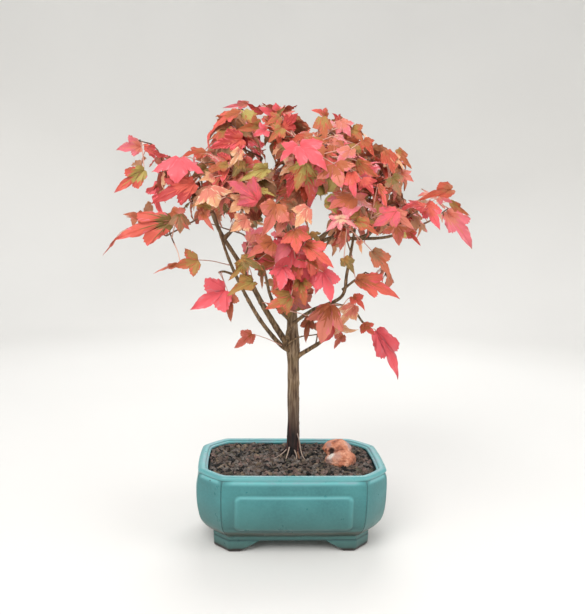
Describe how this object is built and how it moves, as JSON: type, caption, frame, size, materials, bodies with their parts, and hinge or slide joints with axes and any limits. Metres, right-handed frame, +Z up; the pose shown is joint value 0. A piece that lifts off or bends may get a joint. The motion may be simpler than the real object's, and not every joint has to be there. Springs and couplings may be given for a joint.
{
  "type": "trident maple bonsai in a glazed pot",
  "caption": "Small trained maple with a slim upright trunk and an open spreading head of red, pink and orange autumn leaves, standing in a shallow teal glazed pot.",
  "frame": {"origin": "on the table under the middle of the whole plant's plan, about 4 mm in front of the middle of the pot", "axes": "+Z up along the trunk, +X to the right of the front view, within one degree of the pot's long side, +Y to the back"},
  "size_m": [0.4049, 0.316, 0.4862],
  "materials": {
    "glaze": "teal gloss glaze, thin and brownish at the edges",
    "grit": "angular dark gravel chips, matt",
    "rock": "rough orange brown stone with a white patch",
    "bark": "matt grey brown bark with fine upright streaks",
    "leaves": "soft matt autumn leaves, pink, coral, orange and olive"
  },
  "bodies": {
    "root": {"bough_back": "bark", "bough_back_left": "bark", "bough_back_left_high": "bark", "bough_back_right": "bark", "bough_back_right_high": "bark", "bough_cross": "bark", "bough_far_left_back": "bark", "bough_front": "bark", "bough_front_high": "bark", "bough_front_left": "bark", "bough_front_left_high": "bark", "bough_front_right": "bark", "bough_left_droop": "bark", "bough_left_high": "bark", "bough_left_low": "bark", "bough_right_back": "bark", "bough_right_front": "bark", "bough_right_high": "bark", "bough_right_long": "bark", "bough_right_low": "bark", "bough_right_mid": "bark", "bough_right_stub": "bark", "bough_top_left": "bark", "leader": "bark", "leader_right": "bark", "leaf_left_stalk": "leaves", "leaves_back": "leaves", "leaves_back_left": "leaves", "leaves_back_left_high": "leaves", "leaves_back_low": "leaves", "leaves_back_right": "leaves", "leaves_back_right_high": "leaves", "leaves_back_top": "leaves", "leaves_cross_tip": "leaves", "leaves_far_left_back": "leaves", "leaves_front": "leaves", "leaves_front_high": "leaves", "leaves_front_left": "leaves", "leaves_front_left_high": "leaves", "leaves_front_low": "leaves", "leaves_front_right": "leaves", "leaves_left_droop": "leaves", "leaves_left_high": "leaves", "leaves_left_low": "leaves", "leaves_right_back": "leaves", "leaves_right_far": "leaves", "leaves_right_front": "leaves", "leaves_right_high": "leaves", "leaves_right_low": "leaves", "leaves_right_mid": "leaves", "leaves_right_stub": "leaves", "leaves_top": "leaves", "leaves_top_left": "leaves", "leaves_top_right": "leaves", "pot": "glaze", "rock": "rock", "soil": "grit", "trunk": "bark"}
  },
  "joints": []
}
